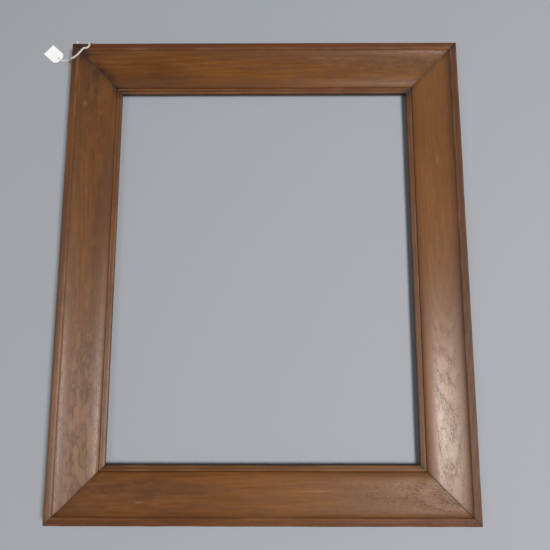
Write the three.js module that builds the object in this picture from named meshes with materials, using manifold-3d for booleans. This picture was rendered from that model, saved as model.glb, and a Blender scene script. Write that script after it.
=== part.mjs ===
// An empty oak picture frame: four mitred rails with a wide moulded face, a sight slip let in behind
// the rails' inner lip, wire nails across the mitres, and a price tag on a looped cotton thread.
// It lies on its back: +Z out of the front face, +Y towards the top rail, +X to the right.
// The origin is under the middle of the frame, on the surface it lies on. All lengths in millimetres.

import * as THREE from "three";
import { mergeVertices } from "three/addons/utils/BufferGeometryUtils.js";
import Module from "manifold-3d";

const wasm = await Module();
wasm.setup();

// ---- driving dimensions ----

const GLASS_W = 406.4; // a 16 x 20 in picture
const GLASS_H = 508.0;
const SIGHT_LAP = 6.35; // how far the slip covers the glass on each side
const FACE_WIDTH = 69.85; // outer edge to sight edge
const SIGHT_W = GLASS_W - 2 * SIGHT_LAP;
const SIGHT_H = GLASS_H - 2 * SIGHT_LAP;
const OUTER_W = SIGHT_W + 2 * FACE_WIDTH;
const OUTER_H = SIGHT_H + 2 * FACE_WIDTH;
const GAP = 0.3; // between pieces that touch

// Moulding heights above the back, and distances in from the outer edge.
const BAND_TOP = 26.0;
const BAND_OUTER_FLAT = 4.0;
const BAND_OUTER_DROP = 4.5;
const BAND_INNER = 10.4;
const BAND_ARRIS = 1.2;
const COVE_SIDE = 1.4; // how steeply the cove starts below the band, and how far
const COVE_DEPTH = 3.2;
const COVE_SWEEP = 24.0; // how slowly it flattens towards the shoulder
const SHOULDER_AT = 46.0;
const SHOULDER_TOP = 19.6;
const LIP_INNER = 62.6;
const LIP_TOP = 14.6;
const LIP_UNDER = 13.0;

// The slip lies in the rails' rabbet, and the glass in the slip's own rabbet.
const RAIL_RABBET = 56.7;
const SLIP_BACK = 6.5;
const SLIP_LEDGE = 9.2;
const GLASS_PLAY = 1.45;
const SLIP_BEAD_TOP = 14.0;
const SLIP_BEAD_ROUND = 1.1;

const NAIL_LENGTH = 50.0;
const NAIL_RADIUS = 1.25;
const NAIL_HEAD_RADIUS = 2.1;
const NAIL_HEAD_LENGTH = 1.0;
const NAIL_SET = 0.8; // how far a head is punched below the surface
const NAIL_PROUD = 4.6; // how far the nail that holds the tag's thread stands out
const NAIL_SIDES = 12;
const END_NAIL = { fromCorner: 24.0, height: 15.0 }; // driven through the top and bottom rails
const SIDE_NAIL = { fromCorner: 16.0, height: 8.0 }; // driven through the side rails

const TAG_LENGTH = 26.0;
const TAG_WIDTH = 19.0;
const TAG_THICKNESS = 0.5;
const TAG_CLIP = 4.6;
const TAG_HOLE_RADIUS = 1.5;
const TAG_HOLE_INSET = 4.6;
const TAG_LIFT = 1.7; // the threaded end lies on the thread
const TAG_ANGLE = THREE.MathUtils.degToRad(-43);
const TAG_FAR_END = [-OUTER_W / 2 - 43.2, OUTER_H / 2 + 5.1];

const THREAD_DIAMETER = 1.1;
const THREAD_STEPS = 80;
const THREAD_SIDES = 8;
const KNOT_RADIUS = 1.7;
const KNOT_PLACE = [-OUTER_W / 2 - 1.8, OUTER_H / 2 + 14.6, 1.75];

// The looped thread's two strands run side by side along one line, from the tag's hole over the
// frame's corner to the knot. Each row is x and y from the frame's top left corner, the height,
// the direction from the line to the left strand in degrees, and half the distance between them.
const THREAD_LINE = [
  [-22.2, -13.0, 1.3, 50, 0.75],
  [-18.6, -12.2, 0.9, 80, 0.8],
  [-14.8, -12.3, 0.75, 85, 0.8],
  [-12.0, -13.0, 1.9, 75, 0.8],
  [-9.2, -14.9, 5.6, 65, 0.8],
  [-6.0, -17.6, 11.6, 65, 0.8],
  [-2.9, -20.6, 18.4, 75, 0.8],
  [-1.2, -22.6, 22.8, 85, 0.8],
  [0.8, -23.8, 26.1, 90, 0.8],
  [3.4, -23.4, 26.9, 110, 0.8],
  [7.3, -20.4, 26.8, 130, 0.8],
  [11.3, -16.4, 26.8, 138, 0.8],
  [14.6, -12.0, 26.8, 150, 0.75],
  [17.4, -9.0, 26.8, 125, 0.75],
  [22.0, -8.2, 26.8, 110, 0.75],
  [24.9, -5.0, 26.8, 180, 0.8],
  [24.3, -0.8, 26.1, 180, 0.8],
  [24.0, 0.9, 22.8, 180, 1.0],
  [24.0, 1.3, 15.0, 180, 2.3],
  [21.6, 2.2, 7.6, 200, 1.0],
  [17.0, 5.6, 1.6, 215, 0.8],
  [10.0, 10.6, 0.75, 240, 0.75],
  [3.4, 14.0, 0.9, 260, 0.75],
];

// ---- materials ----

const oak = (color) => new THREE.MeshStandardMaterial({ color, roughness: 0.42, metalness: 0 });
const steel = () => new THREE.MeshStandardMaterial({ color: 0x4a4039, roughness: 0.6, metalness: 0.8 });
const cotton = () => new THREE.MeshStandardMaterial({ color: 0xd9d3cc, roughness: 0.95, metalness: 0 });
const card = () => new THREE.MeshStandardMaterial({ color: 0xece9e4, roughness: 0.85, metalness: 0 });

// ---- closed solids ----

function toSolid(geometry) {
  const bare = geometry.clone();
  bare.deleteAttribute("normal");
  bare.deleteAttribute("uv");
  const merged = mergeVertices(bare, 1e-4);
  const vertProperties = new Float32Array(merged.attributes.position.array);
  const triVerts = new Uint32Array(merged.index.array);
  return new wasm.Manifold(new wasm.Mesh({ numProp: 3, vertProperties, triVerts }));
}

function toGeometry(solid) {
  const mesh = solid.getMesh();
  const geometry = new THREE.BufferGeometry();
  geometry.setAttribute("position", new THREE.BufferAttribute(mesh.vertProperties, 3));
  geometry.setIndex(new THREE.BufferAttribute(mesh.triVerts, 1));
  geometry.computeVertexNormals();
  return geometry;
}

function cut(geometry, tools) {
  let solid = toSolid(geometry);
  for (const tool of tools) {
    solid = solid.subtract(toSolid(tool));
  }
  return toGeometry(solid);
}

function namedMesh(name, geometry, material) {
  const mesh = new THREE.Mesh(geometry, material);
  mesh.name = name;
  return mesh;
}

// ---- mitred mouldings ----

// The rails' section: x is the distance in from the outer edge, y the height above the back.
function railSection() {
  const section = new THREE.Shape();
  section.moveTo(0, 0);
  section.lineTo(RAIL_RABBET, 0);
  section.lineTo(RAIL_RABBET, LIP_UNDER);
  section.lineTo(LIP_INNER, LIP_UNDER);
  section.lineTo(LIP_INNER, LIP_TOP);
  section.bezierCurveTo(
    LIP_INNER - 2.4, LIP_TOP + 3.2,
    SHOULDER_AT + 8, SHOULDER_TOP - 0.2,
    SHOULDER_AT, SHOULDER_TOP,
  );
  const coveTop = [BAND_INNER + 0.4, BAND_TOP - BAND_ARRIS];
  section.bezierCurveTo(
    SHOULDER_AT - COVE_SWEEP, SHOULDER_TOP + 0.2,
    coveTop[0] + COVE_SIDE, coveTop[1] - COVE_DEPTH,
    ...coveTop,
  );
  section.quadraticCurveTo(BAND_INNER, BAND_TOP, BAND_INNER - BAND_ARRIS, BAND_TOP);
  section.lineTo(BAND_OUTER_FLAT, BAND_TOP - 0.2);
  section.quadraticCurveTo(0.3, BAND_TOP - 0.5, 0, BAND_TOP - BAND_OUTER_DROP);
  section.closePath();
  return section;
}

// The slip's section, in the same coordinates as the rails'.
function slipSection() {
  const outer = RAIL_RABBET + GAP;
  const seat = LIP_UNDER - GAP;
  const bead = LIP_INNER + GAP;
  const glassWall = FACE_WIDTH - SIGHT_LAP - GLASS_PLAY;
  const section = new THREE.Shape();
  section.moveTo(outer, SLIP_BACK);
  section.lineTo(glassWall, SLIP_BACK);
  section.lineTo(glassWall, SLIP_LEDGE);
  section.lineTo(FACE_WIDTH, SLIP_LEDGE);
  section.lineTo(FACE_WIDTH, SLIP_BEAD_TOP - 2 * SLIP_BEAD_ROUND);
  section.quadraticCurveTo(
    FACE_WIDTH, SLIP_BEAD_TOP - 0.3,
    FACE_WIDTH - 2 * SLIP_BEAD_ROUND, SLIP_BEAD_TOP - 0.2,
  );
  section.lineTo(bead + SLIP_BEAD_ROUND, SLIP_BEAD_TOP);
  section.quadraticCurveTo(bead, SLIP_BEAD_TOP, bead, SLIP_BEAD_TOP - SLIP_BEAD_ROUND);
  section.lineTo(bead, seat);
  section.lineTo(outer, seat);
  section.closePath();
  return section;
}

// A length of moulding along X with 45 degree ends, its outer edge `reach` from the frame's middle.
function mitredMoulding(section, length, reach) {
  const geometry = new THREE.ExtrudeGeometry(section, { depth: 1, bevelEnabled: false, curveSegments: 8 });
  const position = geometry.attributes.position;
  const mitreBack = (GAP / 2) * Math.SQRT2;
  for (let i = 0; i < position.count; i += 1) {
    const inward = position.getX(i);
    const height = position.getY(i);
    const end = position.getZ(i) < 0.5 ? -1 : 1;
    position.setXYZ(i, end * (length / 2 - inward - mitreBack), inward - reach, height);
  }
  return geometry;
}

const SIDES = [
  { name: "bottom", turn: 0, length: OUTER_W, reach: OUTER_H / 2 },
  { name: "right", turn: Math.PI / 2, length: OUTER_H, reach: OUTER_W / 2 },
  { name: "top", turn: Math.PI, length: OUTER_W, reach: OUTER_H / 2 },
  { name: "left", turn: -Math.PI / 2, length: OUTER_H, reach: OUTER_W / 2 },
];

// ---- nails ----

// A round bar along +Y from y = 0, with a wider first stretch for its head.
function headedBar(radius, length, headRadius, headLength) {
  const outline = [
    new THREE.Vector2(0, 0),
    new THREE.Vector2(headRadius, 0),
    new THREE.Vector2(headRadius, headLength),
    new THREE.Vector2(radius, headLength),
    new THREE.Vector2(radius, length - 2),
    new THREE.Vector2(radius * 0.3, length),
    new THREE.Vector2(0, length),
  ];
  return new THREE.LatheGeometry(outline, NAIL_SIDES);
}

// Every nail as a place on an outer edge and a direction into the wood.
function nailPlaces() {
  const places = [];
  for (const [vertical, ySign] of [["bottom", -1], ["top", 1]]) {
    for (const [side, xSign] of [["left", -1], ["right", 1]]) {
      const holdsThread = vertical === "top" && side === "left";
      places.push({
        name: `nail_${vertical}_${side}_end`,
        x: xSign * (OUTER_W / 2 - END_NAIL.fromCorner),
        y: ySign * (OUTER_H / 2),
        z: END_NAIL.height,
        turn: ySign > 0 ? Math.PI : 0,
        set: holdsThread ? -NAIL_PROUD : NAIL_SET,
      });
      places.push({
        name: `nail_${vertical}_${side}_side`,
        x: xSign * (OUTER_W / 2),
        y: ySign * (OUTER_H / 2 - SIDE_NAIL.fromCorner),
        z: SIDE_NAIL.height,
        turn: xSign > 0 ? Math.PI / 2 : -Math.PI / 2,
        set: NAIL_SET,
      });
    }
  }
  return places;
}

function placeBar(geometry, place, depth) {
  return geometry.clone().translate(0, depth, 0).rotateZ(place.turn).translate(place.x, place.y, place.z);
}

function nailMesh(place) {
  const bar = headedBar(NAIL_RADIUS, NAIL_LENGTH, NAIL_HEAD_RADIUS, NAIL_HEAD_LENGTH);
  const mesh = namedMesh(place.name, bar, steel());
  mesh.position.set(place.x, place.y, place.z);
  mesh.rotation.z = place.turn;
  mesh.translateY(place.set);
  return mesh;
}

// The hole for a nail: the nail's own shape, larger all round, and open at the outer edge.
function nailHole(place) {
  const mouth = Math.max(place.set, 0) + GAP;
  const sunk = place.set > 0;
  const headRadius = (sunk ? NAIL_HEAD_RADIUS : NAIL_RADIUS) + GAP;
  const headDepth = mouth + (sunk ? NAIL_HEAD_LENGTH + GAP : 0);
  const length = mouth + NAIL_LENGTH + Math.min(place.set, 0) + 3 * GAP;
  const bar = headedBar(NAIL_RADIUS + GAP, length, headRadius, headDepth);
  return placeBar(bar, place, -GAP);
}

function railMeshes(places) {
  const section = railSection();
  const holes = places.map(nailHole);
  return SIDES.map((side) => {
    const moulding = mitredMoulding(section, side.length, side.reach);
    const tools = holes.map((hole) => hole.clone().rotateZ(-side.turn));
    const mesh = namedMesh(`rail_${side.name}`, cut(moulding, tools), oak(0x6a4432));
    mesh.rotation.z = side.turn;
    return mesh;
  });
}

function slipMeshes() {
  const section = slipSection();
  return SIDES.map((side) => {
    const moulding = mitredMoulding(section, side.length, side.reach);
    const mesh = namedMesh(`slip_${side.name}`, moulding, oak(0x5a3828));
    mesh.rotation.z = side.turn;
    return mesh;
  });
}

// ---- price tag ----

// The card's outline along +X from its square end, with a hole near its clipped end.
function tagMesh() {
  const half = TAG_WIDTH / 2;
  const outline = new THREE.Shape();
  outline.moveTo(0, -half);
  outline.lineTo(TAG_LENGTH - TAG_CLIP, -half);
  outline.lineTo(TAG_LENGTH, -half + TAG_CLIP);
  outline.lineTo(TAG_LENGTH, half - TAG_CLIP);
  outline.lineTo(TAG_LENGTH - TAG_CLIP, half);
  outline.lineTo(0, half);
  outline.closePath();
  const hole = new THREE.Path();
  hole.absarc(TAG_LENGTH - TAG_HOLE_INSET, 0, TAG_HOLE_RADIUS, 0, 2 * Math.PI, true);
  outline.holes.push(hole);
  const geometry = new THREE.ExtrudeGeometry(outline, {
    depth: TAG_THICKNESS,
    bevelEnabled: false,
    curveSegments: 6,
  });
  const mesh = namedMesh("price_tag", geometry, card());
  mesh.rotation.y = -Math.asin(TAG_LIFT / TAG_LENGTH);
  const group = new THREE.Group();
  group.position.set(TAG_FAR_END[0], TAG_FAR_END[1], 0);
  group.rotation.z = TAG_ANGLE;
  group.add(mesh);
  return group;
}

// ---- thread ----

function strand(sign) {
  return THREAD_LINE.map(([x, y, z, towards, half]) => {
    const angle = THREE.MathUtils.degToRad(towards);
    return new THREE.Vector3(
      -OUTER_W / 2 + x + sign * half * Math.cos(angle),
      OUTER_H / 2 + y + sign * half * Math.sin(angle),
      z,
    );
  });
}

// From above the card, down through its hole and out under its end.
function throughTheHole() {
  const along = new THREE.Vector2(Math.cos(TAG_ANGLE), Math.sin(TAG_ANGLE));
  const stations = [
    [TAG_LENGTH + 0.6, 2.9],
    [TAG_LENGTH - 2.4, 3.0],
    [TAG_LENGTH - TAG_HOLE_INSET + 0.3, 2.4],
    [TAG_LENGTH - TAG_HOLE_INSET - 0.1, 1.4],
    [TAG_LENGTH - TAG_HOLE_INSET + 0.6, 0.8],
    [TAG_LENGTH - 2.2, 0.68],
    [TAG_LENGTH + 0.6, 0.68],
  ];
  return stations.map(([distance, z]) => new THREE.Vector3(
    TAG_FAR_END[0] + along.x * distance,
    TAG_FAR_END[1] + along.y * distance,
    z,
  ));
}

function threadMesh() {
  const left = strand(1);
  const right = strand(-1);
  const points = [...left.reverse(), ...throughTheHole(), ...right];
  const path = new THREE.CatmullRomCurve3(points, false, "centripetal");
  path.getUtoTmapping = (u) => u; // steps follow the points, so the tight turns get more of them
  const section = new THREE.Shape();
  section.absarc(0, 0, THREAD_DIAMETER / 2, 0, 2 * Math.PI, false);
  const geometry = new THREE.ExtrudeGeometry(section, {
    steps: THREAD_STEPS,
    curveSegments: THREAD_SIDES / 2,
    extrudePath: path,
    bevelEnabled: false,
  });
  return namedMesh("tag_string", geometry, cotton());
}

function knotMesh() {
  const geometry = new THREE.SphereGeometry(KNOT_RADIUS, 10, 8);
  const mesh = namedMesh("string_knot", geometry, cotton());
  mesh.position.set(...KNOT_PLACE);
  return mesh;
}

// ---- the object ----

const frame = new THREE.Group();
const places = nailPlaces();
frame.add(...railMeshes(places));
frame.add(...slipMeshes());
frame.add(...places.map(nailMesh));
frame.add(tagMesh(), threadMesh(), knotMesh());

export default frame;
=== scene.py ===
"""An empty dark oak picture frame, lying on its back on a pale floor, with a price tag on a looped thread."""

import math

import bmesh
import bpy
from mathutils import Matrix, Vector, geometry, noise


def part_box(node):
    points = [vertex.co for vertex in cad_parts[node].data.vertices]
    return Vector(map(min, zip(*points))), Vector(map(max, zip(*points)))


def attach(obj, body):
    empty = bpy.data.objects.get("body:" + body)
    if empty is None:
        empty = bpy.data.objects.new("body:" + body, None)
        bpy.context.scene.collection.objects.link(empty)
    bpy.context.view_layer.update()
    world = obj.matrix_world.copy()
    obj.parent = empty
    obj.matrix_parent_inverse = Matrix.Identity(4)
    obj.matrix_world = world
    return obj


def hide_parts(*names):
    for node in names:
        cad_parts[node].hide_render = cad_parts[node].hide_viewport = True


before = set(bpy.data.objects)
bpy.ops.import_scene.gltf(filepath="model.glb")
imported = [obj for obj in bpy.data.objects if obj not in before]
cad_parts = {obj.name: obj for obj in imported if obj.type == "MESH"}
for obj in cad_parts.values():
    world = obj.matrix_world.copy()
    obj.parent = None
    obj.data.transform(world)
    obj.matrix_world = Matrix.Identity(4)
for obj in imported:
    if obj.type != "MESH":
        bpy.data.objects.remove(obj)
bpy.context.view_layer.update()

MM = 0.001

# ---- driving dimensions, in millimetres where no unit is given ----

HALF_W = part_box("rail_right")[1][0] / MM
HALF_H = -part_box("rail_bottom")[0][1] / MM
BAND_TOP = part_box("rail_bottom")[1][2] / MM
FACE_WIDTH = HALF_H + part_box("slip_bottom")[1][1] / MM
GAP = 0.3
MITRE_BACK = 0.07  # each rail's end stops this far short of the corner's diagonal
SLIP_JOINT = 0.12  # the open joint seen between a rail and its slip

# Distances in from the outer edge and heights above the back, as in the part's own section.
BAND_OUTER_FLAT = 4.0
BAND_OUTER_DROP = 4.5
BAND_INNER = 10.4
BAND_ARRIS = 1.2
COVE_SIDE = 1.4
COVE_DEPTH = 3.2
COVE_SWEEP = 24.0
SHOULDER_AT = 46.0
SHOULDER_TOP = 19.6
LIP_INNER = 62.6
LIP_TOP = 14.6
LIP_UNDER = 13.0
RAIL_RABBET = 56.7
SLIP_BACK = 6.5
SLIP_LEDGE = 9.2
SLIP_GLASS_WALL = 62.05
SLIP_BEAD_TOP = 14.0
SLIP_BEAD_ROUND = 1.1

END_NAIL = {"from_corner": 24.0, "height": 15.0}
SIDE_NAIL = {"from_corner": 16.0, "height": 8.0}
NAIL_RADIUS = 1.25
NAIL_HEAD_RADIUS = 2.1
NAIL_HOLE_DEPTH = 2.0
HOLE_STEPS = 28  # points round a hole

TAG_LENGTH = 26.0
TAG_WIDTH = 19.0
TAG_THICKNESS = 0.5
TAG_CLIP = 4.6
TAG_HOLE_RADIUS = 0.95
TAG_HOLE_INSET = 4.6
TAG_LIFT = 1.7
TAG_ANGLE = math.radians(-43)
TAG_FAR_END = (-HALF_W - 43.2, HALF_H + 5.1)

THREAD_DIAMETER = 1.1
THREAD_SIDES = 12
THREAD_TWIST = 2200.0  # radians to the metre
THREAD_GROOVE = 0.22  # how deep the groove between the two plies is, as a share of the radius
STRANDS_DRAWN_IN = 0.9  # the soft strands lie closer than two stiff tubes can
KNOT_PLACE = (-HALF_W - 1.8, HALF_H + 14.6, 1.75)

# The looped thread's two strands run side by side along one line: x and y from the frame's top
# left corner, the height, the direction from the line to the left strand, and half their distance.
THREAD_LINE = [
    [-22.2, -13.0, 1.3, 50, 0.75],
    [-18.6, -12.2, 0.9, 80, 0.8],
    [-14.8, -12.3, 0.75, 85, 0.8],
    [-12.0, -13.0, 1.9, 75, 0.8],
    [-9.2, -14.9, 5.6, 65, 0.8],
    [-6.0, -17.6, 11.6, 65, 0.8],
    [-2.9, -20.6, 18.4, 75, 0.8],
    [-1.2, -22.6, 22.8, 85, 0.8],
    [0.8, -23.8, 26.1, 90, 0.8],
    [3.4, -23.4, 26.9, 110, 0.8],
    [7.3, -20.4, 26.8, 130, 0.8],
    [11.3, -16.4, 26.8, 138, 0.8],
    [14.6, -12.0, 26.8, 150, 0.75],
    [17.4, -9.0, 26.8, 125, 0.75],
    [22.0, -8.2, 26.8, 110, 0.75],
    [24.9, -5.0, 26.8, 180, 0.8],
    [24.3, -0.8, 26.1, 180, 0.8],
    [24.0, 0.9, 22.8, 180, 1.0],
    [24.0, 1.3, 15.0, 180, 2.3],
    [21.6, 2.2, 7.6, 200, 1.0],
    [17.0, 5.6, 1.6, 215, 0.8],
    [10.0, 10.6, 0.75, 240, 0.75],
    [3.4, 14.0, 0.9, 260, 0.75],
]

# The thread's turn through the tag: distance along the tag from its far end, and height.
HOLE_TURN = [
    [TAG_LENGTH + 0.6, 2.9],
    [TAG_LENGTH - 1.8, 3.05],
    [TAG_LENGTH - 3.6, 2.85],
    [TAG_LENGTH - TAG_HOLE_INSET + 0.15, 2.15],
    [TAG_LENGTH - TAG_HOLE_INSET + 0.2, 1.35],
    [TAG_LENGTH - 3.5, 0.8],
    [TAG_LENGTH - 1.8, 0.68],
    [TAG_LENGTH + 0.6, 0.68],
]


# ---- camera ----


CAMERA_PLACE = (0.0197, -0.1217, 0.7273)
CAMERA_TILT = (9.085, 0.34, 0.016)  # degrees
CAMERA_LENS = 36.0
CAMERA_SENSOR = 36.0


def make_camera():
    """Held over the frame's lower middle, looking almost straight down."""
    data = bpy.data.cameras.new("camera")
    data.sensor_width = CAMERA_SENSOR
    data.lens = CAMERA_LENS
    data.clip_start = 0.01
    camera = bpy.data.objects.new("camera", data)
    camera.location = CAMERA_PLACE
    camera.rotation_euler = [math.radians(angle) for angle in CAMERA_TILT]
    bpy.context.scene.collection.objects.link(camera)
    bpy.context.scene.camera = camera
    bpy.context.scene.view_settings.view_transform = "Standard"


# ---- mesh helpers ----


def link_mesh(name, verts, faces, smooth=True):
    """A new object with these corners, in metres, and faces."""
    mesh = bpy.data.meshes.new(name)
    mesh.from_pydata([tuple(v) for v in verts], [], faces)
    mesh.validate()
    mesh.polygons.foreach_set("use_smooth", [smooth] * len(mesh.polygons))
    obj = bpy.data.objects.new(name, mesh)
    bpy.context.scene.collection.objects.link(obj)
    return obj


def add_attribute(obj, name, kind, values):
    """Stores one number or one vector at each corner, for the materials to read."""
    attribute = obj.data.attributes.new(name, kind, "POINT")
    key = "value" if kind == "FLOAT" else "vector"
    flat = values if kind == "FLOAT" else [c for v in values for c in v]
    attribute.data.foreach_set(key, flat)


def bezier(controls, count):
    """Points along a Bezier curve of any degree, its start left out and its end kept."""
    points = []
    for k in range(1, count + 1):
        t = k / count
        row = [Vector(c) for c in controls]
        while len(row) > 1:
            row = [a.lerp(b, t) for a, b in zip(row, row[1:])]
        points.append(row[0])
    return points


def catmull_rom(points, per_segment):
    """A centripetal Catmull-Rom curve through the points."""
    ends = [2 * points[0] - points[1], *points, 2 * points[-1] - points[-2]]
    path = [points[0]]
    for a, b, c, d in zip(ends, ends[1:], ends[2:], ends[3:]):
        t0 = 0.0
        t1 = t0 + math.sqrt((b - a).length)
        t2 = t1 + math.sqrt((c - b).length)
        t3 = t2 + math.sqrt((d - c).length)
        for k in range(1, per_segment + 1):
            t = t1 + (t2 - t1) * k / per_segment
            p01 = a.lerp(b, (t - t0) / (t1 - t0))
            p12 = b.lerp(c, (t - t1) / (t2 - t1))
            p23 = c.lerp(d, (t - t2) / (t3 - t2))
            p012 = p01.lerp(p12, (t - t0) / (t2 - t0))
            p123 = p12.lerp(p23, (t - t1) / (t3 - t1))
            path.append(p012.lerp(p123, (t - t1) / (t2 - t1)))
    return path


def plied_thread(path):
    """A closed tube along the path, its section in two lobes that turn like plied yarn."""
    sides = THREAD_SIDES
    verts, faces = [], []
    tangent = (path[1] - path[0]).normalized()
    across = tangent.orthogonal().normalized()
    run = 0.0
    for i, point in enumerate(path):
        ahead = path[min(i + 1, len(path) - 1)]
        behind = path[max(i - 1, 0)]
        new_tangent = (ahead - behind).normalized()
        across = tangent.rotation_difference(new_tangent) @ across
        tangent = new_tangent
        up = tangent.cross(across)
        if i:
            run += (point - path[i - 1]).length
        for k in range(sides):
            angle = 2 * math.pi * k / sides
            groove = 0.5 - 0.5 * math.cos(2 * (angle - THREAD_TWIST * run))
            r = THREAD_DIAMETER / 2 * MM * (1 - THREAD_GROOVE * groove)
            verts.append(point + across * (r * math.cos(angle)) + up * (r * math.sin(angle)))
    for i in range(len(path) - 1):
        for k in range(sides):
            a = i * sides + k
            b = i * sides + (k + 1) % sides
            faces.append((a, b, b + sides, a + sides))
    last = (len(path) - 1) * sides
    faces.append(tuple(reversed(range(sides))))
    faces.append(tuple(last + k for k in range(sides)))
    return verts, faces


# ---- material helpers ----


class Nodes:
    """A material's node tree, with one short call for each kind of node that is used here."""

    def __init__(self, name):
        self.material = bpy.data.materials.new(name)
        self.material.use_nodes = True
        self.tree = self.material.node_tree
        self.shader = self.tree.nodes["Principled BSDF"]

    def join(self, source, target):
        """Sets an input to a plain value, or links it to another node's output."""
        if isinstance(source, (int, float, tuple)):
            target.default_value = source
        else:
            self.tree.links.new(source, target)

    def attribute(self, name):
        node = self.tree.nodes.new("ShaderNodeAttribute")
        node.attribute_name = name
        return node

    def math(self, operation, a, b=0.0):
        node = self.tree.nodes.new("ShaderNodeMath")
        node.operation = operation
        self.join(a, node.inputs[0])
        self.join(b, node.inputs[1])
        return node.outputs[0]

    def vector_math(self, operation, a, b):
        node = self.tree.nodes.new("ShaderNodeVectorMath")
        node.operation = operation
        self.join(a, node.inputs[0])
        self.join(b, node.inputs[1])
        return node.outputs["Value"] if operation == "LENGTH" else node.outputs[0]

    def stretch(self, vector, scale):
        return self.vector_math("MULTIPLY", vector, scale)

    def split(self, vector):
        node = self.tree.nodes.new("ShaderNodeSeparateXYZ")
        self.join(vector, node.inputs[0])
        return node.outputs

    def noise(self, vector, scale=1.0, detail=3.0, roughness=0.5):
        node = self.tree.nodes.new("ShaderNodeTexNoise")
        self.join(vector, node.inputs["Vector"])
        node.inputs["Scale"].default_value = scale
        node.inputs["Detail"].default_value = detail
        node.inputs["Roughness"].default_value = roughness
        return node.outputs["Fac"]

    def smooth(self, value, low, high):
        """0 below low, 1 above high, eased between; low above high turns it round."""
        node = self.tree.nodes.new("ShaderNodeMapRange")
        node.interpolation_type = "SMOOTHSTEP"
        self.join(value, node.inputs["Value"])
        if low <= high:
            limits = (low, high, 0.0, 1.0)
        else:
            limits = (high, low, 1.0, 0.0)
        for key, limit in zip(("From Min", "From Max", "To Min", "To Max"), limits):
            node.inputs[key].default_value = limit
        return node.outputs[0]

    def blend(self, factor, a, b):
        """Colour a where the factor is 0 and colour b where it is 1."""
        node = self.tree.nodes.new("ShaderNodeMix")
        node.data_type = "RGBA"
        self.join(factor, node.inputs["Factor"])
        colour_a, colour_b = node.inputs[6], node.inputs[7]
        self.join(a, colour_a)
        self.join(b, colour_b)
        return node.outputs[2]

    def tint(self, colour, mask, strength, towards):
        """Turns a colour towards another by a mask times a strength."""
        return self.blend(self.math("MULTIPLY", mask, strength), colour, towards)

    def total(self, base, terms):
        """A base number plus each term's mask times its strength."""
        result = base
        for mask, strength in terms:
            result = self.math("ADD", self.math("MULTIPLY", mask, strength), result)
        return result

    def bump(self, height, distance, strength):
        node = self.tree.nodes.new("ShaderNodeBump")
        node.inputs["Distance"].default_value = distance
        node.inputs["Strength"].default_value = strength
        self.join(height, node.inputs["Height"])
        return node.outputs[0]


def rgb(r, g, b):
    """A linear colour, opaque."""
    return (r, g, b, 1.0)


# ---- materials ----


OAK = {
    "dark streak": rgb(0.122, 0.041, 0.0072),
    "pale streak": rgb(0.196, 0.073, 0.0125),
    "dark cloud": rgb(0.088, 0.033, 0.011),
    "early wood": rgb(0.070, 0.025, 0.011),
    "gold": rgb(0.270, 0.122, 0.044),
    "red": rgb(0.110, 0.030, 0.013),
    # dirt: the dark tone's colour, for the board's darkness, its dark corners and painted shade on its edges
    "darkening": rgb(0.024, 0.0135, 0.0105),
    "pale fleck": rgb(0.270, 0.140, 0.070),
    "dark fleck": rgb(0.060, 0.030, 0.018),
    "pore": rgb(0.026, 0.010, 0.005),
    "worn": rgb(0.300, 0.150, 0.070),
    # grime: grime and painted shade in the quirks, and the dark mitre joints
    "grime_and_shade": rgb(0.026, 0.014, 0.010),
    "scuff": rgb(0.36, 0.20, 0.11),
}
BARE_OAK = {
    "dark streak": rgb(0.20, 0.125, 0.070),
    "pale streak": rgb(0.31, 0.210, 0.125),
    "pore": rgb(0.075, 0.045, 0.026),
    "stain": rgb(0.11, 0.075, 0.048),
}
RING_WIDTH = 0.0029  # metres
SIDE_GLOSS = 0.5  # the side rails' and slips' varnish
END_GLOSS = 0.2  # the duller varnish of the top and bottom ones
OAK_BUMP = 0.00006  # metres


def growth_rings(n, board):
    """1 in the early wood of each growth ring round the tree's heart, made wavy by slow noise."""
    _, across, depth = n.split(board)
    section = n.tree.nodes.new("ShaderNodeCombineXYZ")
    n.join(across, section.inputs[1])
    n.join(depth, section.inputs[2])
    radius = n.vector_math("LENGTH", section.outputs[0], (0.0, 0.0, 0.0))
    waver = n.noise(n.stretch(board, (7.0, 24.0, 24.0)), detail=2.0)
    ripple = n.noise(n.stretch(board, (40.0, 260.0, 260.0)), detail=2.0)
    radius = n.math("ADD", radius, n.math("MULTIPLY", waver, 0.012))
    radius = n.math("ADD", radius, n.math("MULTIPLY", ripple, 0.0012))
    ring = n.math("FRACT", n.math("DIVIDE", radius, RING_WIDTH))
    return n.math("MULTIPLY", n.smooth(ring, 0.0, 0.25), n.smooth(ring, 0.85, 0.25))


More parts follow.
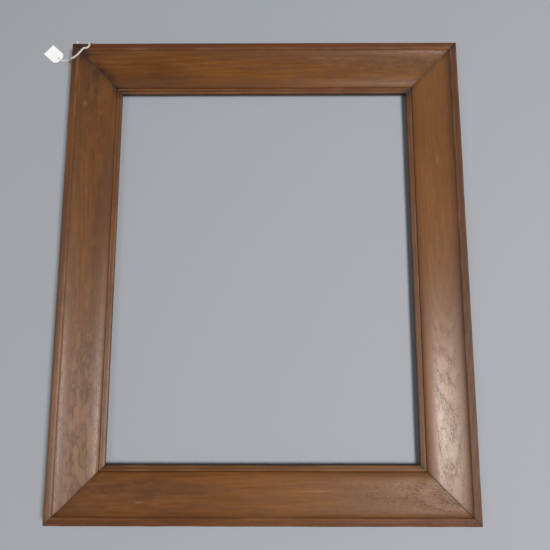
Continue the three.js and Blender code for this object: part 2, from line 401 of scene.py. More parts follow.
def oak_material(name, gloss):
    """Brown stained, varnished oak, bare where the "raw" attribute says so, with painted shade in the quirks
    and on the edges and painted light towards one end.

    The "wood" attribute is the place in the board, measured from the tree's heart.
    """
    n = Nodes(name)
    board = n.attribute("wood").outputs["Vector"]
    wear, grime_and_shade, fleck = n.split(n.attribute("marks").outputs["Vector"])
    red, gold, dark = n.split(n.attribute("tone").outputs["Vector"])
    raw = n.attribute("raw").outputs["Fac"]
    matte = n.attribute("matte").outputs["Fac"]
    scuff = n.attribute("scuff").outputs["Fac"]

    # Pores are short dark dashes, crowded in the early wood.
    early = growth_rings(n, board)
    dashes = n.noise(n.stretch(board, (190.0, 3600.0, 3600.0)), detail=2.0, roughness=0.6)
    pores = n.smooth(n.math("ADD", dashes, n.math("MULTIPLY", early, 0.085)), 0.58, 0.72)

    # Streaks of three sizes run along the grain.
    fine = n.noise(n.stretch(board, (55.0, 1700.0, 1700.0)), detail=3.0, roughness=0.6)
    long_streaks = n.noise(n.stretch(board, (11.0, 260.0, 260.0)), detail=3.0, roughness=0.55)
    slow = n.noise(n.stretch(board, (5.0, 38.0, 38.0)), detail=3.0)
    streaky = n.math("ADD", n.math("MULTIPLY", fine, 0.35), n.math("MULTIPLY", long_streaks, 0.65))
    streaks = n.smooth(streaky, 0.34, 0.66)

    # Ray flecks are pale spots with dark squiggles between them.
    flakes = n.noise(n.stretch(board, (48.0, 105.0, 105.0)), detail=2.0, roughness=0.5)
    pale_fleck = n.math("MULTIPLY", n.smooth(flakes, 0.50, 0.62), fleck)
    squiggle = n.smooth(n.math("ABSOLUTE", n.math("SUBTRACT", flakes, 0.46)), 0.065, 0.0)
    dark_fleck = n.math("MULTIPLY", squiggle, fleck)

    colour = n.blend(streaks, OAK["dark streak"], OAK["pale streak"])
    for mask, strength, towards in (
        (n.smooth(slow, 0.42, 0.62), 0.62, "dark cloud"),
        (early, 0.12, "early wood"),
        (gold, 0.60, "gold"),
        (red, 0.45, "red"),
        # The dark tone holds the board's own darkness, its dark corners and painted shade on the outer band,
        # cove and sight edge.
        (dark, 0.85, "darkening"),
        (pale_fleck, 0.30, "pale fleck"),
        (dark_fleck, 0.50, "dark fleck"),
        (pores, 0.42, "pore"),
        (wear, 0.36, "worn"),
        # Grime and painted shade in the quirks, and the dark mitre joints.
        (grime_and_shade, 0.30, "grime_and_shade"),
        (n.math("MULTIPLY", scuff, n.smooth(fine, 0.42, 0.58)), 0.65, "scuff"),
    ):
        colour = n.tint(colour, mask, strength, OAK[towards])
    bare = n.blend(streaks, BARE_OAK["dark streak"], BARE_OAK["pale streak"])
    bare = n.tint(bare, pores, 0.6, BARE_OAK["pore"])
    bare = n.tint(bare, n.smooth(slow, 0.5, 0.8), 0.5, BARE_OAK["stain"])
    n.join(n.blend(raw, colour, bare), n.shader.inputs["Base Color"])

    rough = n.total(0.27, (
        (pores, 0.20), (wear, 0.12), (slow, 0.16), (dark_fleck, 0.10), (matte, 0.12), (raw, 0.30),
    ))
    n.join(rough, n.shader.inputs["Roughness"])

    # Varnish over grain shines across the grain.
    n.shader.inputs["Anisotropic"].default_value = 0.65
    n.shader.inputs["Specular IOR Level"].default_value = gloss
    n.join(n.attribute("across").outputs["Vector"], n.shader.inputs["Tangent"])

    height = n.total(0.0, (
        (fine, 0.6), (pores, -0.7), (early, -0.15), (pale_fleck, 0.15), (dark_fleck, -0.15),
    ))
    n.join(n.bump(height, OAK_BUMP, 0.8), n.shader.inputs["Normal"])
    return n.material


def iron_material():
    """Old nail steel, dark with spots of rust."""
    n = Nodes("nail_iron")
    place = n.tree.nodes.new("ShaderNodeTexCoord").outputs["Object"]
    rust = n.smooth(n.noise(place, 900.0, 4.0, 0.6), 0.42, 0.60)
    n.join(n.blend(rust, rgb(0.13, 0.115, 0.10), rgb(0.085, 0.038, 0.018)), n.shader.inputs["Base Color"])
    n.join(n.total(0.85, ((rust, -0.6),)), n.shader.inputs["Metallic"])
    n.join(n.total(0.42, ((rust, 0.4),)), n.shader.inputs["Roughness"])
    n.join(n.bump(rust, 0.0001, 0.6), n.shader.inputs["Normal"])
    return n.material


def card_material():
    """Matt white card with faint fibres and a slightly yellowed rim."""
    n = Nodes("tag_card")
    place = n.attribute("card").outputs["Vector"]
    fibres = n.noise(n.stretch(place, (900.0, 260.0, 900.0)), detail=4.0, roughness=0.7)
    cloud = n.noise(n.stretch(place, (90.0, 90.0, 90.0)), detail=2.0)
    rim = n.attribute("rim").outputs["Fac"]
    colour = n.blend(fibres, rgb(0.92, 0.92, 0.93), rgb(0.96, 0.96, 0.97))
    colour = n.tint(colour, n.smooth(cloud, 0.45, 0.75), 0.25, rgb(0.86, 0.84, 0.79))
    colour = n.tint(colour, rim, 0.5, rgb(0.62, 0.56, 0.46))
    n.join(colour, n.shader.inputs["Base Color"])
    n.shader.inputs["Roughness"].default_value = 0.8
    n.join(n.bump(fibres, 0.00004, 0.5), n.shader.inputs["Normal"])
    return n.material


def cotton_material():
    """Off-white plied cotton."""
    n = Nodes("cotton_thread")
    place = n.tree.nodes.new("ShaderNodeTexCoord").outputs["Object"]
    fuzz = n.noise(place, 5200.0, 3.0, 0.7)
    soil = n.noise(place, 120.0, 2.0)
    colour = n.blend(fuzz, rgb(0.62, 0.57, 0.55), rgb(0.82, 0.78, 0.76))
    colour = n.tint(colour, n.smooth(soil, 0.5, 0.8), 0.3, rgb(0.52, 0.45, 0.41))
    n.join(colour, n.shader.inputs["Base Color"])
    n.shader.inputs["Roughness"].default_value = 0.95
    n.shader.inputs["Sheen Weight"].default_value = 0.3
    n.join(n.bump(fuzz, 0.00012, 0.8), n.shader.inputs["Normal"])
    return n.material


def floor_material():
    """Plain matt pale grey."""
    n = Nodes("pale_floor")
    n.shader.inputs["Base Color"].default_value = rgb(0.33, 0.35, 0.375)
    n.shader.inputs["Roughness"].default_value = 0.85
    n.shader.inputs["Specular IOR Level"].default_value = 0.2
    return n.material


# ---- mouldings ----


def soften(corners):
    """Replaces each corner that has a radius with a small round."""
    points = []
    for i, (s, z, r) in enumerate(corners):
        here = Vector((s, z))
        if r == 0:
            points.append(here)
            continue
        back = Vector(corners[i - 1][:2]) - here
        ahead = Vector(corners[(i + 1) % len(corners)][:2]) - here
        start = here + back.normalized() * r
        end = here + ahead.normalized() * r
        points.append(start)
        points.extend(bezier([start, here, end], 4))
    return points


def divide(points, longest):
    """Splits the closed outline's long stretches."""
    fine = []
    for a, b in zip(points, points[1:] + points[:1]):
        count = max(1, math.ceil((b - a).length / longest))
        fine.extend(a.lerp(b, k / count) for k in range(count))
    return fine


def rail_outline():
    """The rail's section, from its back's outer edge round by the sight edge and over the face."""

    def plain(points):
        return [(p.x, p.y, 0) for p in points]

    shoulder = (SHOULDER_AT, SHOULDER_TOP)
    arris = (BAND_INNER + 0.4, BAND_TOP - BAND_ARRIS)
    face = [(LIP_INNER, LIP_TOP, 0)]
    face += plain(bezier([
        (LIP_INNER, LIP_TOP), (LIP_INNER - 2.4, LIP_TOP + 3.2),
        (SHOULDER_AT + 8, SHOULDER_TOP - 0.2), shoulder,
    ], 18))
    face += plain(bezier([
        shoulder, (SHOULDER_AT - COVE_SWEEP, SHOULDER_TOP + 0.2),
        (arris[0] + COVE_SIDE, arris[1] - COVE_DEPTH), arris,
    ], 24))
    face += plain(bezier([arris, (BAND_INNER, BAND_TOP), (BAND_INNER - BAND_ARRIS, BAND_TOP)], 5))
    flat_end = (BAND_OUTER_FLAT, BAND_TOP - 0.2)
    face.append((*flat_end, 0))
    face += plain(bezier([flat_end, (0.3, BAND_TOP - 0.5), (0, BAND_TOP - BAND_OUTER_DROP)], 8))
    back = [(0, 0, 0.7), (RAIL_RABBET, 0, 0.4), (RAIL_RABBET, LIP_UNDER, 0), (LIP_INNER, LIP_UNDER, 0.3)]
    return divide(soften(back + face), 2.4)


def slip_outline():
    """The slip's section, let into the rail's rabbet from behind."""
    seat = LIP_UNDER - GAP
    outer = RAIL_RABBET + GAP
    bead = LIP_INNER + SLIP_JOINT
    top = SLIP_BEAD_TOP
    corners = [  # distance in, height and radius
        (outer, SLIP_BACK, 0.3),
        (SLIP_GLASS_WALL, SLIP_BACK, 0.3),
        (SLIP_GLASS_WALL, SLIP_LEDGE, 0),
        (FACE_WIDTH, SLIP_LEDGE, 0.4),
        (FACE_WIDTH, top - 0.3, 2 * SLIP_BEAD_ROUND - 0.5),
        (bead, top, SLIP_BEAD_ROUND / 2),
        (bead, seat, 0),
        (outer, seat, 0.3),
    ]
    return divide(soften(corners), 1.2)


def near(point, places, reach):
    """1 at any of the places, falling to 0 a few reaches away."""
    return max(math.exp(-(((point - Vector(p)).length / reach) ** 2)) for p in places)


# Places in a section: the arrises wear, and the quirks are darkened with grime and painted shade.
RAIL_ARRISES = [(9.9, 25.6), (1.8, 25.2), (0.2, 22.4), (0.2, 0.3)]
RAIL_QUIRKS = [(12.2, 22.0)]
LIP_FOOT = [(LIP_INNER, LIP_UNDER + 0.6)]
SLIP_ARRISES = [(FACE_WIDTH - 0.7, SLIP_BEAD_TOP - 0.6), (LIP_INNER + 1.2, SLIP_BEAD_TOP)]
SLIP_QUIRKS = [(LIP_INNER + GAP, LIP_UNDER + 0.3)]

# Each side, drawn as the bottom one and then turned about Z. In millimetres, x runs along the
# side from its middle and s in from its outer edge.
#   half, reach: half the side's length, and its outer edge's distance from the frame's middle
#   corners: the corners at its negative and its positive x
#   heart, drift: where the tree's heart lies (s and height), and how fast that moves along x
#   start: a place of its own in the noise, for each board
#   fleck, figured_end: the ray fleck on the broad face, and the end where it is strongest
#   fleck_all_over: what is added to that over the whole board
#   red, band_red: the red of the whole board, and how much more of it the outer band has
#   gold, lit_end: how golden the board is, and its end nearer the light, painted lighter and more golden, or
#       0 for none
#   dark, edge_shade: the darkness of the whole board, and the painted shade on its outer band, cove and sight
#       edge
#   matte_edges, dull: the loss of gloss on the two edges, and on the whole board
#   scuffs: x, s, length and width of each pale scuff
SIDES = {
    "bottom": {
        "turn": 0.0, "half": HALF_W, "reach": HALF_H, "corners": ("bottom_left", "bottom_right"),
        "heart": (26.0, -62.0), "drift": (0.03, 0.03), "start": 0.3,
        "fleck": 0.25, "fleck_all_over": 0.0, "figured_end": -1, "lit_end": 1,
        "red": 0.05, "band_red": 0.75, "gold": 0.42, "dark": 0.09, "edge_shade": 0.12,
        "matte_edges": 1.0, "dull": 0.4,
        "scuffs": [(-150.0, 27.0, 9.0, 1.2), (-128.0, 25.5, 5.0, 0.9), (70.0, 40.0, 22.0, 0.8)],
    },
    "right": {
        "turn": math.pi / 2, "half": HALF_H, "reach": HALF_W, "corners": ("bottom_right", "top_right"),
        "heart": (27.0, -15.0), "drift": (-0.015, 0.07), "start": 2.1,
        "fleck": 0.5, "fleck_all_over": -0.03, "figured_end": -1, "lit_end": 0,
        "red": 0.05, "band_red": 0.75, "gold": 0.8, "dark": 0.0, "edge_shade": 0.42,
        "matte_edges": 2.4, "dull": 0.15,
        "scuffs": [(150.0, 33.0, 6.0, 0.8)],
    },
    "top": {
        "turn": math.pi, "half": HALF_W, "reach": HALF_H, "corners": ("top_right", "top_left"),
        "heart": (44.0, -70.0), "drift": (0.03, 0.02), "start": 4.7,
        "fleck": 0.3, "fleck_all_over": 0.03, "figured_end": -1, "lit_end": -1,
        "red": 0.1, "band_red": 0.75, "gold": 0.18, "dark": 0.09, "edge_shade": 0.08,
        "matte_edges": 0.8, "dull": 0.4,
        "scuffs": [(-90.0, 22.0, 30.0, 1.0)],
    },
    "left": {
        "turn": -math.pi / 2, "half": HALF_H, "reach": HALF_W, "corners": ("top_left", "bottom_left"),
        "heart": (120.0, -6.0), "drift": (0.03, 0.015), "start": 6.4,
        "fleck": 1.0, "fleck_all_over": 0.045, "figured_end": 1, "lit_end": 1,
        "red": 0.0, "band_red": 0.3, "gold": 0.36, "dark": 0.16, "edge_shade": 0.0,
        "matte_edges": 0.0, "dull": 0.6,
        "scuffs": [(-230.0, 22.0, 4.0, 2.5)],
    },
}

# For each corner: how dark its mitre is and how wide that is, how dark its tip is and how far that
# reaches, and how dark its inner end is.
CORNER_DARK = {
    "top_left": (0.75, 8.5, 1.7, 19.0, 1.4),
    "top_right": (0.45, 4.0, 0.9, 9.0, 0.9),
    "bottom_left": (0.30, 4.0, 0.2, 8.0, 0.1),
    "bottom_right": (0.35, 3.5, 0.7, 8.0, 0.3),
}

# How far each outer corner is worn round, by the signs of its x and y.
CORNER_ROUND = {(-1, -1): 4.5, (1, -1): 3.0, (1, 1): 1.8, (-1, 1): 2.6}


def stations(half):
    """Where a board's cross-sections lie: crowded at the mitre, then every few millimetres."""
    close = [0.0, 0.25, 0.6, 1.2, 2.2, 4.0]
    crowded = 6.0
    spacing = 3.2
    count = round(2 * (half - crowded) / spacing)
    middle = [(-1 + 2 * k / count, crowded) for k in range(count + 1)]
    return [(-1, e) for e in close] + middle + [(1, e) for e in reversed(close)]


def rubbed(place):
    """How much a place has been rubbed, if it stands where things rub."""
    return max(0.0, noise.noise(place * 0.035 + Vector((9, 2, 5))) + 0.15)


def unevenness(place, wear_here, to_mitre):
    """How far the old surface stands off its true line, in millimetres."""
    slow = noise.noise(place * 0.014) * 0.16
    fine = noise.noise(place * 0.07) * 0.035
    nick = max(0.0, noise.noise(place * 0.16 + Vector((3, 7, 1))) - 0.34) * 1.6
    eased = 0.12 * math.exp(-to_mitre / 0.4)
    return slow + fine - wear_here * (0.08 + rubbed(place) * 0.45 + nick) - eased


def round_corner(x, y):
    """Wears the frame's outer corner round, seen from the front."""
    sx = 1 if x > 0 else -1
    sy = 1 if y > 0 else -1
    r = CORNER_ROUND[(sx, sy)]
    from_x = abs(x) - (HALF_W - r)
    from_y = abs(y) - (HALF_H - r)
    if from_x > 0 and from_y > 0:
        distance = math.hypot(from_x, from_y)
        if distance > r:
            from_x *= r / distance
            from_y *= r / distance
            return sx * (HALF_W - r + from_x), sy * (HALF_H - r + from_y)
    return x, y


def outline_normals(outline):
    """The outward direction at each point of a closed section."""
    normals = []
    for i in range(len(outline)):
        edge = outline[(i + 1) % len(outline)] - outline[i - 1]
        normals.append(Vector((edge.y, -edge.x)).normalized())
    return normals


def tube_faces(rings, count):
    """Quads between closed rings of points, and a face at either end."""
    faces = []
    for j in range(rings - 1):
        for i in range(count):
            a = j * count + i
            b = j * count + (i + 1) % count
            faces.append((a, a + count, b + count, b))
    faces.append(tuple(range(count)))
    faces.append(tuple(reversed(range((rings - 1) * count, rings * count))))
    return faces


def marks_at(side, s, x, place, worn, quirk_grime_and_shade, to_mitre):
    """How worn, how dark with grime and painted shade, and how flecked a place is."""
    to_figured_end = smoothstep(x / side["half"] * side["figured_end"], 0.0, 0.5)
    on_face = smoothstep(s, 18.0, 26.0) * (1 - smoothstep(s, 46.0, 56.0))
    fleck = side["fleck"] * (0.25 + 0.75 * to_figured_end) * (0.25 + 0.75 * on_face)
    fleck += side["fleck_all_over"]
    # Patchy grime and painted shade in the quirks, and a dark joint in each mitre gap.
    darkening = max(0.0, 0.55 + 0.9 * noise.noise(place * 0.03))
    in_gap = math.exp(-to_mitre / 0.7)
    return Vector((worn * (0.25 + 1.3 * rubbed(place)), quirk_grime_and_shade * darkening + 0.22 * in_gap, fleck))


def moulding(name, outline, side, arrises, quirks, raw_test):
    """One mitred length of moulding, closed, with its board coordinates and its marks."""
    normals = outline_normals(outline)
    worn = [near(p, arrises, 1.1) for p in outline]
    # Grime and painted shade in the quirks.
    quirk_grime_and_shade = [0.35 * near(p, quirks, 1.5) for p in outline]
    raw = [1.0 if raw_test(p) else 0.0 for p in outline]
    turn = Matrix.Rotation(side["turn"], 3, "Z")
    across_grain = turn @ Vector((0, 1, 0))
    heart_s, heart_z = side["heart"]

    verts, wood, marks, tones, bare, matte, scuffs = [], [], [], [], [], [], []
    places = stations(side["half"])
    for where, from_end in places:
        for i, point in enumerate(outline):
            half = side["half"] - point.x - MITRE_BACK
            x = where * (half - from_end)
            to_mitre = half - abs(x)
            board_x = x + 1000 * side["start"]
            place = Vector((board_x, point.x, point.y))
            off = 0.0 if raw[i] else unevenness(place, worn[i], to_mitre)
            s = point.x + normals[i].x * off
            z = max(point.y + normals[i].y * off, 0.0)
            flat = turn @ Vector((x, s - side["reach"], z))
            px, py = round_corner(flat.x, flat.y)
            verts.append(Vector((px, py, z)) * MM)
            across = point.x - heart_s - side["drift"][0] * x
            depth = point.y - heart_z - side["drift"][1] * x
            wood.append(Vector((board_x, across, depth)) * MM)
            marks.append(marks_at(side, point.x, x, place, worn[i], quirk_grime_and_shade[i], to_mitre))
            tones.append(tone_at(side, point.x, x, place))
            bare.append(raw[i])
            edges = 1 - smoothstep(point.x, 9.5, 14.0) + smoothstep(point.x, LIP_INNER - 2, LIP_INNER)
            matte.append(edges * side["matte_edges"] + side["dull"])
            scuffs.append(scuff_at(side, point.x, x))

    obj = link_mesh(name, verts, tube_faces(len(places), len(outline)))
    add_attribute(obj, "wood", "FLOAT_VECTOR", wood)
    add_attribute(obj, "marks", "FLOAT_VECTOR", marks)
    add_attribute(obj, "tone", "FLOAT_VECTOR", tones)
    add_attribute(obj, "across", "FLOAT_VECTOR", [across_grain] * len(verts))
    add_attribute(obj, "matte", "FLOAT", matte)
    add_attribute(obj, "scuff", "FLOAT", scuffs)
    add_attribute(obj, "raw", "FLOAT", bare)
    return obj


def tone_at(side, s, x, place):
    """How red, how golden and how dark a place is, with painted shade on the edges and painted light towards
    one end, for a place s in from the edge and x along.
    """
    band = 1 - smoothstep(s, 9.5, 12.0)
    sight = smoothstep(s, LIP_INNER - 1.5, LIP_INNER + 1.0)
    cloud = noise.noise(place * 0.006 + Vector((4, 4, 4)))
    # Painted light: the board grows lighter and more golden towards lit_end, its end nearer the light.
    to_lit_end = x / side["half"] * side["lit_end"]
    red = side["band_red"] * band + 0.55 * sight + side["red"] + 0.25 * cloud
    gold = side["gold"] * (0.7 + 0.6 * to_lit_end)
    gold = gold * (1 - side["band_red"] * band) * (1 - 0.5 * sight) - 0.2 * cloud
    # Painted shade: edge_shade darkens the outer band, the cove and the sight edge, most on the right rail.
    cove = 1 - smoothstep(s, 10.0, 24.0)
    dark = side["dark"] + side["edge_shade"] * max(cove, sight) + 0.15 * max(0.0, cloud)
    dark += corner_dark(side, s, x, place)
    return Vector([min(1.0, max(0.0, value)) for value in (red, gold, dark)])


def corner_dark(side, s, x, place):
    """Darker along a mitre, at its outer corner's tip and at its inner end."""
    strength, width, at_tip, tip_reach, at_foot = CORNER_DARK[side["corners"][1 if x > 0 else 0]]
    from_mitre = (side["half"] - s - abs(x)) / math.sqrt(2)
    from_tip = math.hypot(side["half"] - abs(x), s)
    patchy = 0.75 + 0.9 * noise.noise(place * 0.09)
    from_foot = math.hypot(from_mitre, FACE_WIDTH - 2.0 - s)
    mitre = strength * math.exp(-((from_mitre / width) ** 2))
    tip = at_tip * math.exp(-((from_tip / tip_reach) ** 2))
    foot = at_foot * math.exp(-((from_foot / 6.5) ** 2))
    return max(0.0, patchy * (mitre + tip + foot))


def scuff_at(side, s, x):
    """How much of a pale scuff there is."""
    total = 0.0
    for at_x, at_s, length, width in side["scuffs"]:
        total += math.exp(-(((x - at_x) / length) ** 2) - ((s - at_s) / width) ** 2)
    return min(1.0, total)


def smoothstep(value, low, high):
    """0 below low, 1 above high, eased between."""
    t = min(1.0, max(0.0, (value - low) / (high - low)))
    return t * t * (3 - 2 * t)


def outward_faces(obj):
    """Turns every face of a closed mesh outwards."""
    bm = bmesh.new()
    bm.from_mesh(obj.data)
    bmesh.ops.recalc_face_normals(bm, faces=bm.faces)
    if bm.calc_volume(signed=True) < 0:
        bmesh.ops.reverse_faces(bm, faces=bm.faces)
    bm.to_mesh(obj.data)
    bm.free()


def drill(obj, holes):
    """Cuts round holes into a piece: each is a mouth, a direction, a radius and a depth."""
    outside = 1.0  # how far the drill sticks out of each hole's mouth
    bm = bmesh.new()
    for mouth, direction, radius, depth in holes:
        middle = mouth + direction * (depth - outside) / 2
        turn = direction.to_track_quat("Z", "Y").to_matrix().to_4x4()
        place = Matrix.Translation(middle * MM) @ turn
        bmesh.ops.create_cone(
            bm, cap_ends=True, segments=HOLE_STEPS, radius1=radius * MM, radius2=radius * MM,
            depth=(depth + outside) * MM, matrix=place,
        )
    mesh = bpy.data.meshes.new("drill")
    bm.to_mesh(mesh)
    bm.free()
    cutter = bpy.data.objects.new("drill", mesh)
    bpy.context.scene.collection.objects.link(cutter)
    modifier = obj.modifiers.new("holes", "BOOLEAN")
    modifier.operation = "DIFFERENCE"
    modifier.solver = "FAST"
    modifier.object = cutter
    graph = bpy.context.evaluated_depsgraph_get()
    cut = bpy.data.meshes.new_from_object(
        obj.evaluated_get(graph), preserve_all_data_layers=True, depsgraph=graph,
    )
    obj.modifiers.clear()
    obj.data = cut
    bpy.data.objects.remove(cutter)


def nail_holes(side_name):
    """The holes in one rail's outer edge: over a punched nail, or round the one that stands proud."""
    holes = []
    for end in (-1, 1):
        if side_name in ("bottom", "top"):
            outward = Vector((0, -1 if side_name == "bottom" else 1, 0))
            along = Vector((end * (HALF_W - END_NAIL["from_corner"]), 0, END_NAIL["height"]))
            mouth = along + outward * HALF_H
        else:
            outward = Vector((-1 if side_name == "left" else 1, 0, 0))
            along = Vector((0, end * (HALF_H - SIDE_NAIL["from_corner"]), SIDE_NAIL["height"]))
            mouth = along + outward * HALF_W
        proud = side_name == "top" and end < 0
        radius = NAIL_RADIUS + 0.1 if proud else NAIL_HEAD_RADIUS + GAP
        holes.append((mouth, -outward, radius, NAIL_HOLE_DEPTH))
    return holes


def make_rails(oaks):
    """The four rails, drilled for their nails and bare at the back."""
    outline = rail_outline()

    def raw(p):
        return p.y < 0.35 or (p.x > RAIL_RABBET - 0.1 and p.y < LIP_UNDER + 0.05)

    for name, side in SIDES.items():
        rail = moulding(f"oak_rail_{name}", outline, side, RAIL_ARRISES, RAIL_QUIRKS + LIP_FOOT, raw)
        outward_faces(rail)
        drill(rail, nail_holes(name))
        rail.data.materials.append(oaks[name])
        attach(rail, "root")
        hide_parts(f"rail_{name}")


def make_slips(oaks):
    """The four slips, of other boards than the rails, and bare where they are hidden."""
    outline = slip_outline()

    def raw(p):
        return p.y < SLIP_LEDGE + 0.05 or p.x < LIP_INNER - 0.5

    for name, side in SIDES.items():
        board = dict(side, start=side["start"] + 11.0)
        slip = moulding(f"oak_slip_{name}", outline, board, SLIP_ARRISES, SLIP_QUIRKS, raw)
        outward_faces(slip)
        slip.data.materials.append(oaks[name])
        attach(slip, "root")
        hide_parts(f"slip_{name}")


# ---- tag, thread and knot ----


def tag_point(along, across, height):
    """A place on or by the tag, in metres."""
    c, s = math.cos(TAG_ANGLE), math.sin(TAG_ANGLE)
    x = TAG_FAR_END[0] + c * along - s * across
    y = TAG_FAR_END[1] + s * along + c * across
    return Vector((x, y, height)) * MM


def tag_border():
    """The card's outline: square at its far end and clipped where the hole is."""
    half = TAG_WIDTH / 2
    corners = [
        (0, -half, 0.5), (TAG_LENGTH - TAG_CLIP, -half, 0.4), (TAG_LENGTH, -half + TAG_CLIP, 0.4),
        (TAG_LENGTH, half - TAG_CLIP, 0.4), (TAG_LENGTH - TAG_CLIP, half, 0.4), (0, half, 0.5),
    ]
    return divide(soften(corners), 0.9)


def make_tag(card):
    """A thin card, bowed a little, with two clipped corners and a punched hole."""
    border = tag_border()
    centre = Vector((TAG_LENGTH - TAG_HOLE_INSET, 0))
    hole = []
    for k in range(HOLE_STEPS):
        angle = 2 * math.pi * k / HOLE_STEPS
        hole.append(centre + Vector((math.cos(angle), math.sin(angle))) * TAG_HOLE_RADIUS)
    inner = []
    step = 0.9
    for i in range(1, int(TAG_LENGTH / step)):
        for j in range(-int(TAG_WIDTH / 2 / step), int(TAG_WIDTH / 2 / step) + 1):
            p = Vector((i * step, j * step))
            clear = min((p - q).length for q in border) > 0.5
            in_width = abs(p.y) < TAG_WIDTH / 2 - 0.4
            in_clips = p.x + abs(p.y) < TAG_LENGTH + TAG_WIDTH / 2 - TAG_CLIP - 0.6
            if clear and in_width and in_clips and (p - centre).length > TAG_HOLE_RADIUS + 0.5:
                inner.append(p)
    points = border + hole + inner
    nb, nh = len(border), len(hole)
    edges = [(k, (k + 1) % nb) for k in range(nb)]
    edges += [(nb + k, nb + (k + 1) % nh) for k in range(nh)]
    flat, _, triangles, *_ = geometry.delaunay_2d_cdt(points, edges, [], 1, 1e-6)
    triangles = [
        t for t in triangles
        if (sum((flat[i] for i in t), Vector((0, 0))) / 3 - centre).length > TAG_HOLE_RADIUS * 0.98
    ]
    slope = TAG_LIFT / TAG_LENGTH

    def lifted(p):
        bow = 0.135 * (1 - (2 * p.y / TAG_WIDTH) ** 2) * (p.x / TAG_LENGTH)
        curl = 0.5 * max(0.0, 1 - p.x / 7.0) ** 2 * (0.4 + 1.2 * max(0.0, p.y) / TAG_WIDTH)
        return slope * p.x + TAG_THICKNESS + bow + curl

    verts = [tag_point(p.x, p.y, lifted(p)) for p in flat]
    tag = link_mesh("tag_card", verts, [tuple(t) for t in triangles])
    add_attribute(tag, "card", "FLOAT_VECTOR", [Vector((p.x, p.y, 0)) * MM for p in flat])
    rim = [1.0 if min((p - q).length for q in border + hole) < 0.3 else 0.0 for p in flat]
    add_attribute(tag, "rim", "FLOAT", rim)
    outward = sum((p.normal.z for p in tag.data.polygons), 0.0)
    if outward < 0:
        tag.data.flip_normals()
    thick = tag.modifiers.new("thickness", "SOLIDIFY")
    thick.thickness = TAG_THICKNESS * MM
    thick.offset = -1.0
    tag.data.materials.append(card)
    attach(tag, "root")
    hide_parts("price_tag")
    return tag


def strand(sign):
    """One of the loop's two strands, from the tag to the knot."""
    points = []
    for x, y, z, towards, half in THREAD_LINE:
        angle = math.radians(towards)
        px = -HALF_W + x + sign * half * STRANDS_DRAWN_IN * math.cos(angle)
        py = HALF_H + y + sign * half * STRANDS_DRAWN_IN * math.sin(angle)
        points.append(Vector((px, py, z)) * MM)
    return points


def thread_path():
    """The whole loop: from the knot to the tag, through its hole and back."""
    turn = [tag_point(along, 0.0, z) for along, z in HOLE_TURN]
    points = list(reversed(strand(1))) + turn + strand(-1)
    return catmull_rom(points, 14)


def make_knot(cotton):
    """A small overhand knot with two short cut ends."""
    steps = 120
    loop = []
    for k in range(steps):
        t = 0.35 + (2 * math.pi - 0.7) * k / (steps - 1)
        x = math.sin(t) + 2 * math.sin(2 * t)
        y = math.cos(t) - 2 * math.cos(2 * t)
        loop.append(Vector((x * 0.52, y * 0.52, -math.sin(3 * t) * 0.66)))
    into = (loop[0] - loop[1]).normalized() - Vector((0, 0, 0.10))
    out = (loop[-1] - loop[-2]).normalized() - Vector((0, 0, 0.10))
    first = [loop[0] + into * d for d in (4.6, 2.8, 1.2)]
    last = [loop[-1] + out * d for d in (1.0, 2.0)]
    turn = Matrix.Rotation(math.radians(150), 3, "Z")
    path = [(turn @ p + Vector(KNOT_PLACE)) * MM for p in first + loop + last]
    for p in path:
        p.z = max(p.z, THREAD_DIAMETER / 2 * MM)
    path = catmull_rom(path, 2)
    verts, faces = plied_thread(path)
    knot = link_mesh("thread_knot", verts, faces)
    knot.data.materials.append(cotton)
    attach(knot, "root")
    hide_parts("string_knot")
    return knot


def make_thread(cotton):
    """The tag's looped cotton thread."""
    path = thread_path()
    verts, faces = plied_thread(path)
    thread = link_mesh("cotton_thread", verts, faces)
    thread.data.materials.append(cotton)
    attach(thread, "root")
    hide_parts("tag_string")


# ---- nails ----


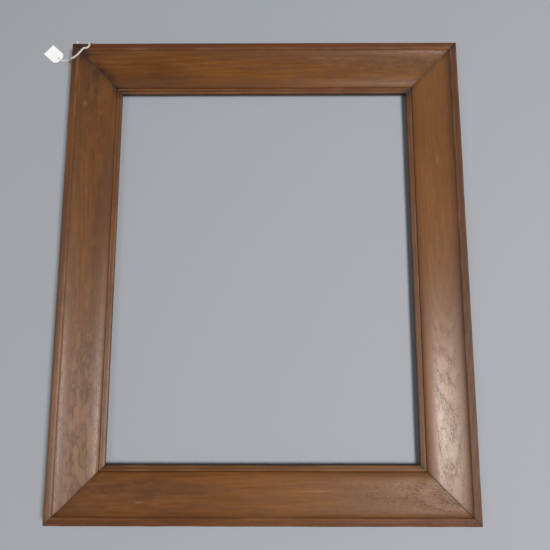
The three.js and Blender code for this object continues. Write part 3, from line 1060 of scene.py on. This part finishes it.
def dress_nails(iron):
    """The nails keep their own solids and get a better material."""
    for name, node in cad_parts.items():
        if name.startswith("nail_"):
            for slot in node.material_slots:
                slot.material = iron


# ---- floor and lights ----


def make_floor():
    """A wide floor, just under the frame's back."""
    size = 3.0
    corners = [(-size, -size, 0), (size, -size, 0), (size, size, 0), (-size, size, 0)]
    floor = link_mesh("floor", corners, [(0, 1, 2, 3)], smooth=False)
    floor.location.z = -0.0001
    floor.data.materials.append(floor_material())


WORLD_COLOUR = rgb(0.93, 0.96, 1.0)
WORLD_STRENGTH = 0.16
LIGHTS = {
    "window": {
        "place": (1.20, -0.53, 3.0), "aim": (0.10, -0.10, 0.0), "size": (0.95, 0.85),
        "power": 108.0, "colour": (1.0, 0.98, 0.96),
    },
    "wall": {
        "place": (-0.95, -0.42, 2.20), "aim": (0.0, 0.0, 0.0), "size": (1.1, 0.8),
        "power": 7.0, "colour": (1.0, 0.98, 0.98),
    },
}


def area_light(name, place, aim, size, power, colour):
    """A rectangular light at a place, turned towards another."""
    data = bpy.data.lights.new(name, "AREA")
    data.shape = "RECTANGLE"
    data.size, data.size_y = size
    data.energy = power
    data.color = colour
    light = bpy.data.objects.new(name, data)
    light.location = place
    light.rotation_euler = (Vector(aim) - Vector(place)).to_track_quat("-Z", "Y").to_euler()
    bpy.context.scene.collection.objects.link(light)


def make_lights():
    """Daylight from a window at the right, a little from a wall at the left, and the room's own."""
    world = bpy.data.worlds.new("studio")
    world.use_nodes = True
    background = world.node_tree.nodes["Background"]
    background.inputs["Color"].default_value = WORLD_COLOUR
    background.inputs["Strength"].default_value = WORLD_STRENGTH
    bpy.context.scene.world = world
    for name, light in LIGHTS.items():
        area_light(name, **light)


# ---- the scene ----

make_camera()
cotton_thread = cotton_material()
knot_piece = make_knot(cotton_thread)
tag_piece = make_tag(card_material())
make_thread(cotton_thread)
side_oak = oak_material("oak_sides", SIDE_GLOSS)
end_oak = oak_material("oak_ends", END_GLOSS)
oaks = {"left": side_oak, "right": side_oak, "top": end_oak, "bottom": end_oak}
make_rails(oaks)
make_slips(oaks)
dress_nails(iron_material())
make_floor()
make_lights()
